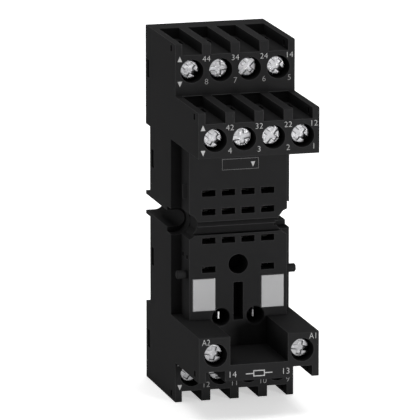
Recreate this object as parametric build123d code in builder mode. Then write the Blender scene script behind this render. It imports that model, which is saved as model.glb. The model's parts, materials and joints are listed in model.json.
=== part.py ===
"""Relay socket for a fourteen-blade plug-in relay, with screw clamp terminals and a rail latch.

X runs across the socket, Y goes into the wall and Z goes up, in millimetres. The origin lies on
the rear mounting plane, midway between the two fixing slots. A front is how far a face stands
out from that plane, so the face itself lies at y = -front.
"""

import os
from dataclasses import dataclass
from math import cos, isclose, radians, sin

from build123d import *

os.makedirs("parts", exist_ok=True)

# Outer form of the front housing
width = 27.0
foot_z = -40.05
coil_block_bottom_z = -30.98
coil_block_top_z = -20.95
second_block_bottom_z = 18.45
second_block_top_z = 28.55
top_z = 40.05
lower_front = 24.6
coil_front = 44.1
base_front = 20.95
tower_front = 27.5
second_front = 43.8
upper_front = 25.0
tower_width = 22.2
edge_break = 0.2
cover_rim = 3.15

# Seat for the 35 mm rail, and the boss that carries the fixing slots
rail_width = 35.0
rail_thickness = 1.0
rail_play = 0.25
recess_depth = 3.55
recess_above_rail = 0.3
recess_below_rail = 5.0
boss_half_height = 2.63
recess_top_z = rail_width / 2 + recess_above_rail
recess_bottom_z = -rail_width / 2 - recess_below_rail

# Fixing slots, open at the sides, each with a recess for the screw head
fixing_slot_radius = 1.85
fixing_slot_x = 11.4
fixing_wall = 17.8
head_recess_radius = 3.1
head_recess_x = 12.3
bite_x = 9.13
bite_half_height = 2.8
bite_shoulder_x = 10.2
bite_shoulder_half_height = 2.45
bite_flat_half_height = 1.1

# Terminal rows
terminal_pitch = 6.5
screw_inset = 6.05
channel_width = 4.5
channel_height = 2.45
rear_rim = 5.6
screw_bore_radius = 2.6
strip_width = 15.36
strip_height = 3.7

# Terminal screw, measured from the front of its row
screw_recess = 2.2
head_radius = 2.15
head_height = 1.8
head_rim = 0.35
shank_radius = 1.5
shank_length = 8.4
slot_cut_width = 1.1
cross_cut_length = 3.3
recess_cut_depth = 0.75
ledge_gap = 0.3
ledge_thickness = 1.0
ledge_bore_radius = 1.75

# Clamp cage, which rises along the screw
clamp_travel = 2.3
clamp_stop_gap = 0.2
cage_raised_gap = 1.0
cage_width = 4.4
cage_height = 4.6
cage_side_wall = 0.7
cage_nut_wall = 1.4
cage_floor_wall = 0.6
cage_bore_radius = 1.56
chamber_clearance = 0.25

# Contacts: a fork for each relay blade and a strip to its terminal
contact_thickness = 0.6
contact_width = 2.6
fork_thickness = 0.35
fork_tip = 23.6
fork_pinch = 22.7
fork_base = 19.2
fork_spread = 0.95
fork_grip = 0.43
bend_radius = 0.7
tip_gap = 0.1
contact_overrun = 2.2
run_gap = 0.45
upper_jog_start_z = 9.6
upper_jog_end_z = 15.0
common_jog_start_z = -6.0
common_jog_end_z = -11.5
coil_jog_start_z = -12.0
coil_jog_end_z = -17.0

# Relay face: blade slots, guide hole and middle slot
blade_pitch = 4.45
blade_slot_width = 3.05
blade_slot_height = 1.43
closed_row_z = 7.25
open_row_z = 3.05
common_row_z = -3.35
coil_row_z = -9.8
blade_wall = 2.3
guide_hole_radius = 2.22
guide_hole_z = -8.9
guide_hole_depth = 6.5
middle_slot_width = 2.2
middle_slot_height = 8.5
middle_slot_z = -17.2
middle_slot_depth = 5.0

# Groove across the relay face, with its slanted lip
groove_top_z = 0.95
groove_slit = 0.25
groove_lip_z = -0.2
groove_bottom_z = -2.05
groove_depth = 1.6
groove_slit_depth = 0.8
groove_lip_drop = 0.1
groove_end_x = 8.5
groove_end_top_z = 0.15
groove_end_bottom_z = -1.05

# Plug-in module bay, its two sockets and their spring contacts
bay_width = 13.0
bay_floor_z = coil_block_bottom_z + strip_height
module_x = 3.92
module_z = -20.65
module_radius = 1.95
module_blade_thickness = 0.36
module_blade_height = 1.6
module_blade_front = 25.5
module_foot_thickness = 0.5
module_foot_end_x = 10.6

# Label plates, clip pins, catch and dimples on the tower
label_width = 5.1
label_height = 7.2
label_x = 7.78
label_z = -15.42
label_thickness = 0.8
label_proud = 0.2
label_clearance = 0.1
pin_radius = 0.95
pin_front = 25.6
pin_z = -10.95
pin_end_x = 13.5
pin_chamfer = 0.2
catch_front = 25.95
catch_z = 7.47
catch_height = 3.15
catch_rise = 0.8
catch_ramp = 1.05
dimple_fronts = (22.3, 25.6)
dimple_z = -7.08
dimple_length = 1.2
dimple_height = 0.95
dimple_depth = 0.6

# Rear cover, its snap hooks and the windows that they fill
side_wall = 1.55
cover_plate = 1.8
cover_clearance = 0.1
column_half_width = 1.75
column_top_z = 9.05
column_bottom_z = -5.2
window_height = 4.1
window_depth = 2.1
window_setback = 1.2
window_gap = 0.3
hook_reach = 1.3
hook_root = 1.0
window_levels = (30.55, 10.95, -11.25, -30.85)

# Rail hooks and the sliding rail latch
hook_lip_drop = 1.9
hook_lip_width = 7.0
hook_lip_x = 7.0
latch_half_width = 4.0
latch_flange_half_width = 5.0
latch_rear_gap = 0.3
latch_neck_depth = 1.4
latch_depth = 2.7
latch_nose_bite = 1.5
latch_clearance = 0.15
latch_travel = 2.5
latch_tail_gap = 0.25
latch_tail_length = 3.5
latch_tail_slot_width = 3.6
latch_tail_slot_height = 1.2
latch_tail_slot_inset = 1.55
latch_window_half_width = 1.6
latch_window_height = 7.2
spring_peg_height = 1.2
spring_peg_half_width = 1.2
spring_radius = 0.95
spring_wire = 0.3
spring_turns = 6
wire_sides = 6
spring_seat = 0.05

# Small notches near the fronts of the outer fins
notch_front_offset = 3.45
notch_length = 1.2
notch_height = 1.4
notch_rise = 0.4

housing_half = width / 2
cover_inner = recess_depth + cover_plate
cover_top_z = top_z - cover_rim
cover_bottom_z = foot_z + cover_rim
rail_lip_depth = recess_depth - rail_thickness - rail_play
busbar_depth = screw_recess + head_height + shank_length + tip_gap + contact_thickness / 2
chamber_start = screw_recess + head_height + ledge_gap + ledge_thickness
cage_front_depth = chamber_start + cage_raised_gap + clamp_travel
wire_gap = clamp_travel + clamp_stop_gap
cage_rear_depth = busbar_depth + contact_thickness / 2 + wire_gap + cage_floor_wall
chamber_end = cage_rear_depth + chamber_clearance
chamber_width = cage_width + 2 * chamber_clearance
chamber_half_height = cage_height / 2 + chamber_clearance
strip_chamber_rear = fork_base + contact_thickness + chamber_clearance
latch_tail_z = foot_z + latch_travel + latch_tail_gap
latch_window_bottom_z = latch_tail_z + latch_tail_length
latch_window_top_z = latch_window_bottom_z + latch_window_height
spring_depth = (latch_rear_gap + latch_depth) / 2


@dataclass(frozen=True)
class TerminalRow:
    """One row of screw terminals: its level, its front, its wire side and its terminals."""

    z: float
    front: float
    wire_side: int
    fin_tip_z: float
    channel_rear: float
    terminals: dict[int, float]

    @property
    def floor_z(self):
        """Level of the wire channels' floor."""
        return self.fin_tip_z - self.wire_side * channel_height


columns = [terminal_pitch * step for step in (-1.5, -0.5, 0.5, 1.5)]
outer_columns = [columns[0], columns[-1]]
second_row = TerminalRow(
    second_block_top_z - screw_inset,
    second_front,
    1,
    second_block_top_z,
    upper_front,
    dict(zip((4, 3, 2, 1), columns)),
)
upper_row = TerminalRow(
    top_z - screw_inset, upper_front, 1, top_z, rear_rim, dict(zip((8, 7, 6, 5), columns))
)
lower_row = TerminalRow(
    foot_z + screw_inset, lower_front, -1, foot_z, rear_rim, dict(zip((12, 11, 10, 9), columns))
)
coil_row = TerminalRow(
    coil_block_bottom_z + screw_inset,
    coil_front,
    -1,
    coil_block_bottom_z,
    lower_front,
    dict(zip((14, 13), outer_columns)),
)
rows = [second_row, upper_row, lower_row, coil_row]
blade_columns = [blade_pitch * step for step in (-1.5, -0.5, 0.5, 1.5)]


def cut_pockets(places, size_x, size_z, front, depth):
    """Cut pockets at places of X and Z that start at a front and go towards the wall."""
    with BuildSketch(Plane.XZ.offset(front)) as pockets:
        with Locations(*places):
            Rectangle(size_x, size_z)
    extrude(pockets.sketch, amount=-depth, mode=Mode.SUBTRACT)


def cut_between(levels, bottom_z, up_to_z, size_x, front, back):
    """Cut chambers at levels of X, between two heights and two depths behind the front."""
    middle_z = (bottom_z + up_to_z) / 2
    cut_pockets([(x, middle_z) for x in levels], size_x, up_to_z - bottom_z, front, front - back)


def cut_bores(places, radius, front, depth):
    """Cut round bores at places of X and Z that start at a front and go towards the wall."""
    with BuildSketch(Plane.XZ.offset(front)) as bores:
        with Locations(*places):
            Circle(radius)
    extrude(bores.sketch, amount=-depth, mode=Mode.SUBTRACT)


with BuildPart() as front_housing:
    # The stepped side profile, with the rail recess and the fixing boss in its rear edge
    with BuildSketch(Plane.YZ.offset(-housing_half)):
        with BuildLine():
            Polyline(
                (0, foot_z),
                (-lower_front, foot_z),
                (-lower_front, coil_block_bottom_z),
                (-coil_front, coil_block_bottom_z),
                (-coil_front, coil_block_top_z),
                (-base_front, coil_block_top_z),
                (-base_front, second_block_bottom_z),
                (-second_front, second_block_bottom_z),
                (-second_front, second_block_top_z),
                (-upper_front, second_block_top_z),
                (-upper_front, top_z),
                (0, top_z),
                (0, recess_top_z),
                (-recess_depth, recess_top_z),
                (-recess_depth, boss_half_height),
                (0, boss_half_height),
                (0, -boss_half_height),
                (-recess_depth, -boss_half_height),
                (-recess_depth, recess_bottom_z),
                (0, recess_bottom_z),
                close=True,
            )
        make_face()
    extrude(amount=width)

    # Broken edges along both sides and along the block fronts
    fronts = (lower_front, coil_front, second_front, upper_front)
    front_edges = ShapeList(
        edge
        for face in front_housing.faces().filter_by(Axis.Y)
        for edge in face.edges().filter_by(Axis.X)
        if any(isclose(-face.center().Y, front, abs_tol=edge_break / 2) for front in fronts)
    )
    chamfer(front_edges, length=edge_break)

    # The tower that the relay plugs onto
    with BuildSketch(Plane.XZ.offset(base_front)):
        with Locations((0, (coil_block_top_z + second_block_bottom_z) / 2)):
            Rectangle(tower_width, second_block_bottom_z - coil_block_top_z)
    extrude(amount=tower_front - base_front)

    # The bay for the plug-in module, over the strip
    cut_between([0], bay_floor_z, coil_block_top_z, bay_width, coil_front, tower_front)

    # Wire channels between the fins, screw bores, clamp chambers and wire entries of each row
    for row in rows:
        terminal_xs = list(row.terminals.values())
        screw_places = [(x, row.z) for x in terminal_xs]
        channel_xs, channel_size = terminal_xs, channel_width
        if row is coil_row:
            # Here the strip of the module bay stands in the channels' inner part
            channel_size = (2 * terminal_xs[-1] + channel_width - strip_width) / 2
            channel_xs = [side * (strip_width + channel_size) / 2 for side in (-1, 1)]
        low_z, high_z = sorted((row.floor_z, row.fin_tip_z))
        cut_between(channel_xs, low_z, high_z, channel_size, row.front, row.channel_rear)
        head_bore_depth = screw_recess + head_height + ledge_gap
        cut_bores(screw_places, screw_bore_radius, row.front, head_bore_depth)
        cut_bores(screw_places, ledge_bore_radius, row.front - head_bore_depth, ledge_thickness)
        chamber_rear = row.front - chamber_end
        cut_between(
            terminal_xs,
            row.z - chamber_half_height,
            row.z + chamber_half_height,
            chamber_width,
            row.front - chamber_start,
            chamber_rear,
        )
        # The wire entry opens the channel's floor behind the busbar
        low_z, high_z = sorted((row.z, row.floor_z))
        entry_front = row.front - busbar_depth - contact_thickness / 2
        entry_width = cage_width - cage_side_wall
        cut_between(terminal_xs, low_z, high_z, entry_width, entry_front, chamber_rear)

    # Pocket for the rear cover, which leaves the solid cheeks of the fixing slots
    cover_cheek = blade_columns[-1] + column_half_width
    for low_z, high_z, half_width in (
        (column_top_z, cover_top_z, housing_half - side_wall),
        (column_bottom_z, column_top_z, cover_cheek),
        (cover_bottom_z, column_bottom_z, housing_half - side_wall),
    ):
        cut_between([0], low_z, high_z, 2 * half_width, cover_inner, 0)

    # Column chambers for the forks, open to the rear, longer at the coil's blades
    outer_blades = [blade_columns[0], blade_columns[-1]]
    coil_chamber_z = coil_row_z - fork_spread - 2 * chamber_clearance
    for levels, low_z in ((blade_columns[1:-1], column_bottom_z), (outer_blades, coil_chamber_z)):
        column_width = 2 * column_half_width
        column_front = tower_front - blade_wall
        cut_between(levels, low_z, column_top_z, column_width, column_front, cover_inner)

    # Bus chambers above and below, where the strips step out to their terminals
    run_clearance = contact_thickness / 2 + chamber_clearance
    upper_run_z = second_row.z - cage_height / 2 - run_gap
    coil_run_z = coil_row.z + cage_height / 2 + run_gap
    bus_width = 2 * (housing_half - side_wall)
    for low_z, high_z in (
        (column_top_z, upper_run_z + run_clearance),
        (coil_run_z - run_clearance, column_bottom_z),
    ):
        cut_between([0], low_z, high_z, bus_width, strip_chamber_rear, cover_inner)
    open_layer = upper_front - busbar_depth
    common_layer = lower_front - busbar_depth
    for low_z, high_z, layer in (
        (upper_run_z, upper_row.z + chamber_half_height, open_layer),
        (lower_row.z - chamber_half_height, coil_run_z, common_layer),
    ):
        cut_between(columns, low_z, high_z, chamber_width, layer + run_clearance, cover_inner)

    # Slots that lead contacts forward to the second row and to the coil row
    for levels, run_z, row in ((columns, upper_run_z, second_row), (outer_columns, coil_run_z, coil_row)):
        cut_between(
            levels,
            run_z - run_clearance,
            run_z + run_clearance,
            contact_width + 2 * chamber_clearance,
            row.front - busbar_depth + run_clearance,
            fork_base,
        )

    # Blade slots, guide hole, middle slot and module sockets in the relay face
    slot_places = [(x, z) for z in (closed_row_z, open_row_z, common_row_z) for x in blade_columns]
    slot_places += [(x, coil_row_z) for x in outer_blades]
    cut_pockets(slot_places, blade_slot_width, blade_slot_height, tower_front, blade_wall)
    cut_bores([(0, guide_hole_z)], guide_hole_radius, tower_front, guide_hole_depth)
    cut_pockets(
        [(0, middle_slot_z)], middle_slot_width, middle_slot_height, tower_front, middle_slot_depth
    )
    module_places = [(-module_x, module_z), (module_x, module_z)]
    cut_bores(module_places, module_radius, tower_front, tower_front - fork_base)
    module_rims = front_housing.edges(Select.LAST).filter_by(GeomType.CIRCLE).group_by(Axis.Y)[0]
    chamfer(module_rims, length=edge_break)

    # Shallow seats for the label plates
    cut_pockets(
        [(-label_x, label_z), (label_x, label_z)],
        label_width + 2 * label_clearance,
        label_height + 2 * label_clearance,
        tower_front,
        label_thickness - label_proud,
    )

    # Fixing slots, their head recesses and the bites that they take out of the tower
    with BuildSketch(Plane.XZ):
        with Locations((-fixing_slot_x, 0), (fixing_slot_x, 0)):
            Circle(fixing_slot_radius)
        slot_open_x = (fixing_slot_x + housing_half) / 2
        with Locations((-slot_open_x, 0), (slot_open_x, 0)):
            Rectangle(housing_half - fixing_slot_x, 2 * fixing_slot_radius)
    extrude(amount=fixing_wall, mode=Mode.SUBTRACT)
    head_places = [(-head_recess_x, 0), (head_recess_x, 0)]
    cut_bores(head_places, head_recess_radius, tower_front, tower_front - fixing_wall)
    with BuildSketch(Plane.XZ.offset(base_front)) as bite:
        with BuildLine():
            Polyline(
                (tower_width / 2, bite_half_height),
                (bite_shoulder_x, bite_shoulder_half_height),
                (bite_x, bite_flat_half_height),
                (bite_x, -bite_flat_half_height),
                (bite_shoulder_x, -bite_shoulder_half_height),
                (tower_width / 2, -bite_half_height),
                close=True,
            )
        make_face()
        mirror(about=Plane.YZ)
    extrude(amount=tower_front - base_front, mode=Mode.SUBTRACT)

    # Groove across the relay face, below a slanted lip
    with BuildSketch(Plane.YZ.offset(-tower_width / 2)):
        with BuildLine():
            Polyline(
                (-tower_front, groove_top_z),
                (-tower_front + groove_slit_depth, groove_top_z),
                (-tower_front + groove_slit_depth, groove_top_z - groove_slit),
                (-tower_front + groove_lip_drop, groove_lip_z),
                (-tower_front + groove_depth, groove_lip_z),
                (-tower_front + groove_depth, groove_bottom_z),
                (-tower_front, groove_bottom_z),
                close=True,
            )
        make_face()
    extrude(amount=tower_width, mode=Mode.SUBTRACT)

    # The groove's right end opens into the head recess
    cut_between(
        [(groove_end_x + tower_width / 2) / 2],
        groove_end_bottom_z,
        groove_end_top_z,
        tower_width / 2 - groove_end_x,
        tower_front,
        base_front,
    )

    # Pins for the retaining clip, and two dimples above each
    for side in (-1, 1):
        with BuildSketch(Plane.YZ.offset(side * tower_width / 2)):
            with Locations((-pin_front, pin_z)):
                Circle(pin_radius)
        extrude(amount=side * (pin_end_x - tower_width / 2))
        pin_edges = edges(Select.LAST).sort_by(Axis.X)
        chamfer(pin_edges[-1 if side > 0 else 0], length=pin_chamfer)
        with BuildSketch(Plane.YZ.offset(side * tower_width / 2)):
            with Locations(*[(-front, dimple_z) for front in dimple_fronts]):
                Rectangle(dimple_length, dimple_height)
        extrude(amount=-side * dimple_depth, mode=Mode.SUBTRACT)

    # The ramped catch for the retaining clip, on the left of the tower
    with BuildSketch(Plane.XY.offset(catch_z)):
        Polygon(
            (-tower_width / 2, -catch_front),
            (-tower_width / 2, catch_ramp - catch_front),
            (-tower_width / 2 - catch_rise, catch_ramp - catch_front),
            align=None,
        )
    extrude(amount=catch_height / 2, both=True)

    # Snap windows in the side walls, and the small notches in the outer fins
    window_places = []
    for level in window_levels:
        local_rear = recess_depth if recess_bottom_z < level < recess_top_z else 0
        window_places.append((-(local_rear + window_setback + window_depth / 2), level))
    notch_places = []
    for row in rows:
        notch_z = row.floor_z + row.wire_side * (notch_rise + notch_height / 2)
        notch_places.append((-(row.front - notch_front_offset), notch_z))
    for side in (-1, 1):
        with BuildSketch(Plane.YZ.offset(side * housing_half)):
            with Locations(*window_places):
                Rectangle(window_depth, window_height)
            with Locations(*notch_places):
                Rectangle(notch_length, notch_height)
        extrude(amount=-side * side_wall, mode=Mode.SUBTRACT)

    # Way out for the rail latch through the rear rim of the foot
    way_out_width = 2 * (latch_flange_half_width + latch_clearance)
    cut_between([0], foot_z, cover_bottom_z, way_out_width, latch_depth + latch_clearance, 0)

front_housing.part.label = "front_housing"
export_step(front_housing.part, "parts/front_housing.step")


with BuildPart() as rear_cover:
    # Plate with thick ends beside the rail recess, cut back round the fixing slots
    with BuildSketch(Plane.YZ.offset(-(housing_half - side_wall - cover_clearance))):
        with BuildLine():
            Polyline(
                (0, cover_bottom_z + cover_clearance),
                (-cover_inner, cover_bottom_z + cover_clearance),
                (-cover_inner, cover_top_z - cover_clearance),
                (0, cover_top_z - cover_clearance),
                (0, recess_top_z),
                (-recess_depth, recess_top_z),
                (-recess_depth, boss_half_height),
                (0, boss_half_height),
                (0, -boss_half_height),
                (-recess_depth, -boss_half_height),
                (-recess_depth, recess_bottom_z),
                (0, recess_bottom_z),
                close=True,
            )
        make_face()
    extrude(amount=2 * (housing_half - side_wall - cover_clearance))
    cheek_half = cover_cheek - cover_clearance
    cut_between(
        [side * (cheek_half + housing_half) / 2 for side in (-1, 1)],
        column_bottom_z - cover_clearance,
        column_top_z + cover_clearance,
        housing_half - cheek_half,
        cover_inner,
        0,
    )

    # Snap hooks that fill the windows of the side walls
    for side in (-1, 1):
        wall_x = side * (housing_half - side_wall - cover_clearance)
        for level in window_levels:
            local_rear = recess_depth if recess_bottom_z < level < recess_top_z else 0
            window_rear = local_rear + window_setback
            window_front = window_rear + window_depth
            with BuildSketch(Plane.XY.offset(level - window_height / 2 + window_gap)):
                with BuildLine():
                    Polyline(
                        (wall_x - side * hook_root, -window_front + window_gap / 2),
                        (wall_x, -window_front + window_gap / 2),
                        (wall_x + side * hook_reach, -window_rear - 2 * window_gap),
                        (wall_x + side * hook_reach, -window_rear - window_gap),
                        (wall_x, -window_rear - window_gap),
                        (wall_x - side * hook_root, -local_rear - cover_plate / 2),
                        close=True,
                    )
                make_face()
            extrude(amount=window_height - 2 * window_gap)

    # Lips that hook over the rail's upper edge
    with BuildSketch(Plane.XZ):
        with Locations((-hook_lip_x, recess_top_z), (hook_lip_x, recess_top_z)):
            Rectangle(hook_lip_width, 2 * hook_lip_drop)
    extrude(amount=rail_lip_depth)

    # Stepped guide for the rail latch
    guide_end_z = cover_bottom_z + cover_clearance
    for half_width, near, far in (
        (latch_half_width + latch_clearance, 0, latch_neck_depth),
        (
            latch_flange_half_width + latch_clearance,
            latch_neck_depth - latch_clearance,
            latch_depth + latch_clearance,
        ),
    ):
        cut_between([0], guide_end_z, recess_bottom_z, 2 * half_width, far, near)

    # Peg that carries the latch spring
    with BuildSketch(Plane.XZ.offset(latch_rear_gap)):
        with Locations(
            (0, latch_window_bottom_z + latch_clearance + spring_peg_height / 2),
        ):
            Rectangle(2 * spring_peg_half_width, spring_peg_height)
    extrude(amount=latch_depth + latch_clearance - latch_rear_gap)

rear_cover.part.label = "rear_cover"
export_step(rear_cover.part, "parts/rear_cover.step")


with BuildPart() as rail_latch:
    nose_top_z = -rail_width / 2 + latch_nose_bite
    flange_top_z = recess_bottom_z - latch_clearance
    # Neck and nose, with a ramp that the rail rides down as it snaps in
    with BuildSketch(Plane.YZ.offset(-latch_half_width)):
        with BuildLine():
            Polyline(
                (-latch_rear_gap, latch_tail_z),
                (-latch_depth, latch_tail_z),
                (-latch_depth, flange_top_z),
                (-rail_lip_depth, flange_top_z),
                (-rail_lip_depth, nose_top_z),
                (-rail_lip_depth + latch_nose_bite / 2, nose_top_z),
                (-latch_rear_gap, nose_top_z - latch_nose_bite),
                close=True,
            )
        make_face()
    extrude(amount=2 * latch_half_width)
    # Flange that rides in the guide
    with BuildSketch(Plane.XZ.offset(latch_neck_depth)):
        with Locations((0, (latch_tail_z + flange_top_z) / 2)):
            Rectangle(2 * latch_flange_half_width, flange_top_z - latch_tail_z)
    extrude(amount=latch_depth - latch_neck_depth)
    # Window for the spring, and the slot for a screwdriver
    window_width = 2 * latch_window_half_width
    cut_between(
        [0], latch_window_bottom_z, latch_window_top_z, window_width, latch_depth, latch_rear_gap
    )
    cut_pockets(
        [(0, latch_tail_z + latch_tail_slot_inset)],
        latch_tail_slot_width,
        latch_tail_slot_height,
        latch_depth,
        latch_depth - latch_rear_gap,
    )

rail_latch.part.label = "rail_latch"
export_step(rail_latch.part, "parts/rail_latch.step")


with BuildPart() as latch_spring:
    spring_bottom_z = latch_window_bottom_z + latch_clearance + spring_peg_height + spring_wire / 2
    spring_length = latch_window_top_z - spring_wire / 2 - spring_bottom_z - 2 * spring_seat
    with BuildLine() as spring_line:
        Helix(
            pitch=spring_length / spring_turns,
            height=spring_length,
            radius=spring_radius,
            center=(0, -spring_depth, spring_bottom_z + spring_seat),
        )
    with BuildSketch(Plane(spring_line.line @ 0, z_dir=spring_line.line % 0)):
        RegularPolygon(spring_wire / 2, wire_sides)
    sweep(path=spring_line.line)

latch_spring.part.label = "latch_spring"
export_step(latch_spring.part, "parts/latch_spring.step")


def make_screw(x, row, turn):
    """Return a terminal screw with a slot and a short cross arm, turned by an angle in degrees."""
    with BuildPart() as screw:
        head_face = Plane(
            origin=(x, -(row.front - screw_recess), row.z),
            x_dir=(cos(radians(turn)), 0, sin(radians(turn))),
            z_dir=(0, -1, 0),
        )
        with BuildSketch(head_face):
            Circle(head_radius)
        extrude(amount=-head_height)
        chamfer(screw.edges().filter_by(GeomType.CIRCLE).sort_by(Axis.Y)[0], length=head_rim)
        with BuildSketch(head_face.offset(-head_height)):
            Circle(shank_radius)
        extrude(amount=-shank_length)
        with BuildSketch(head_face):
            Rectangle(2 * head_radius, slot_cut_width)
            Rectangle(slot_cut_width, cross_cut_length)
        extrude(amount=-recess_cut_depth, mode=Mode.SUBTRACT)
    return screw.part


def make_cage(x, row):
    """Return the clamp cage that a terminal screw draws up onto its busbar."""
    cage_depth = cage_rear_depth - cage_front_depth
    hollow_depth = cage_depth - cage_nut_wall - cage_floor_wall
    with BuildPart() as cage:
        with BuildSketch(Plane.XY.offset(row.z - cage_height / 2)):
            with Locations((x, -(row.front - (cage_front_depth + cage_rear_depth) / 2))):
                outline = Rectangle(cage_width, cage_depth)
            chamfer(outline.vertices(), length=2 * edge_break)
            hollow_middle = cage_front_depth + cage_nut_wall + hollow_depth / 2
            with Locations((x, -(row.front - hollow_middle))):
                Rectangle(cage_width - 2 * cage_side_wall, hollow_depth, mode=Mode.SUBTRACT)
        extrude(amount=cage_height)
        with BuildSketch(Plane.XZ.offset(row.front - cage_front_depth)):
            with Locations((x, row.z)):
                Circle(cage_bore_radius)
        extrude(amount=-cage_nut_wall, mode=Mode.SUBTRACT)
    return cage.part


def bend_strip(x, points, radius):
    """Add a contact's strip, bent along points of the Y and Z plane."""
    with BuildSketch(Plane.YZ.offset(x - contact_width / 2)) as bent_profile:
        with BuildLine():
            FilletPolyline(*points, radius=radius)
        trace(line_width=contact_thickness)
    extrude(bent_profile.sketch, amount=contact_width)


def make_contact(blade_x, blade_z, layer, jog, row, terminal_x):
    """Return the contact from one blade slot to its terminal, with its fork and its strip."""
    jog_start_z, jog_end_z = jog
    busbar = row.front - busbar_depth
    end_z = row.z + row.wire_side * contact_overrun
    with BuildPart() as contact:
        # The fork pinches the relay's blade and flares at its tips
        with BuildSketch(Plane.YZ.offset(blade_x - contact_width / 2)):
            with BuildLine():
                Polyline(
                    (-fork_tip, blade_z + fork_spread - fork_thickness),
                    (-fork_pinch, blade_z + fork_grip),
                    (-fork_base, blade_z + fork_spread),
                    (-fork_base, blade_z - fork_spread),
                    (-fork_pinch, blade_z - fork_grip),
                    (-fork_tip, blade_z - fork_spread + fork_thickness),
                )
            trace(line_width=fork_thickness)
        extrude(amount=contact_width)
        strip_start_z = blade_z
        if layer != fork_base:
            bend_strip(
                blade_x,
                [(-fork_base, blade_z), (-layer, blade_z), (-layer, jog_start_z)],
                bend_radius,
            )
            strip_start_z = (blade_z + jog_start_z) / 2
        strip_end_z = end_z
        if layer != busbar:
            run_z = row.z - row.wire_side * (cage_height / 2 + run_gap)
            bend_strip(
                terminal_x,
                [(-layer, jog_end_z), (-layer, run_z), (-busbar, run_z), (-busbar, end_z)],
                contact_thickness,
            )
            strip_end_z = (jog_end_z + run_z) / 2
        # The flat strip, which steps across from the blade's column to the terminal's
        half = contact_width / 2
        with BuildSketch(Plane.XZ.offset(layer - contact_thickness / 2)):
            with BuildLine():
                Polyline(
                    (blade_x - half, strip_start_z),
                    (blade_x + half, strip_start_z),
                    (blade_x + half, jog_start_z),
                    (terminal_x + half, jog_end_z),
                    (terminal_x + half, strip_end_z),
                    (terminal_x - half, strip_end_z),
                    (terminal_x - half, jog_end_z),
                    (blade_x - half, jog_start_z),
                    close=True,
                )
            make_face()
        extrude(amount=contact_thickness)
    return contact.part


screw_turns = {4: -38, 3: 8, 2: 52, 1: -40, 8: -36, 7: 2, 6: 46, 5: -42}
screw_turns |= {12: -35, 11: 5, 10: 50, 9: -38, 14: -12, 13: -10}
for row in rows:
    for number, x in row.terminals.items():
        screw = make_screw(x, row, screw_turns[number])
        screw.label = f"terminal_screw_{number}"
        export_step(screw, f"parts/terminal_screw_{number}.step")
        cage = make_cage(x, row)
        cage.label = f"clamp_cage_{number}"
        export_step(cage, f"parts/clamp_cage_{number}.step")

contact_sets = (
    (second_row, closed_row_z, fork_base, (upper_jog_start_z, upper_jog_end_z)),
    (upper_row, open_row_z, open_layer, (upper_jog_start_z, upper_jog_end_z)),
    (lower_row, common_row_z, common_layer, (common_jog_start_z, common_jog_end_z)),
    (coil_row, coil_row_z, fork_base, (coil_jog_start_z, coil_jog_end_z)),
)
for row, blade_z, layer, jog in contact_sets:
    row_blades = dict(zip(columns, blade_columns))
    for number, x in row.terminals.items():
        contact = make_contact(row_blades[x], blade_z, layer, jog, row, x)
        contact.label = f"contact_{number}"
        export_step(contact, f"parts/contact_{number}.step")

for side, name in ((-1, "left"), (1, "right")):
    # The module contact stands in its socket and bears on the back of the coil strip
    foot_front = fork_base - contact_thickness / 2
    with BuildPart() as module_contact:
        with BuildSketch(Plane.XZ.offset(foot_front - module_foot_thickness)):
            with Locations((side * module_x, module_z)):
                Rectangle(module_blade_thickness, module_blade_height)
        extrude(amount=module_blade_front - foot_front + module_foot_thickness)
        with BuildSketch(Plane.XZ.offset(foot_front - module_foot_thickness)):
            foot_start_x = module_x - module_blade_thickness / 2
            with Locations((side * (foot_start_x + module_foot_end_x) / 2, module_z)):
                Rectangle(module_foot_end_x - foot_start_x, module_blade_height)
        extrude(amount=module_foot_thickness)
    module_contact.part.label = f"module_contact_{name}"
    export_step(module_contact.part, f"parts/module_contact_{name}.step")

    with BuildPart() as label_plate:
        with BuildSketch(Plane.XZ.offset(tower_front + label_proud)):
            with Locations((side * label_x, label_z)):
                Rectangle(label_width, label_height)
        extrude(amount=-label_thickness)
        chamfer(label_plate.faces().sort_by(Axis.Y)[0].edges(), length=label_proud / 2)
    label_plate.part.label = f"label_plate_{name}"
    export_step(label_plate.part, f"parts/label_plate_{name}.step")
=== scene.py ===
"""Looks of the relay socket: its finishes, its printed marks and the studio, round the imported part."""

import json
import logging
from collections.abc import Callable, Iterator, Sequence
from contextlib import contextmanager
from dataclasses import dataclass, field, replace
from enum import Enum
from math import cos, radians, sin
from typing import ClassVar

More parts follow.
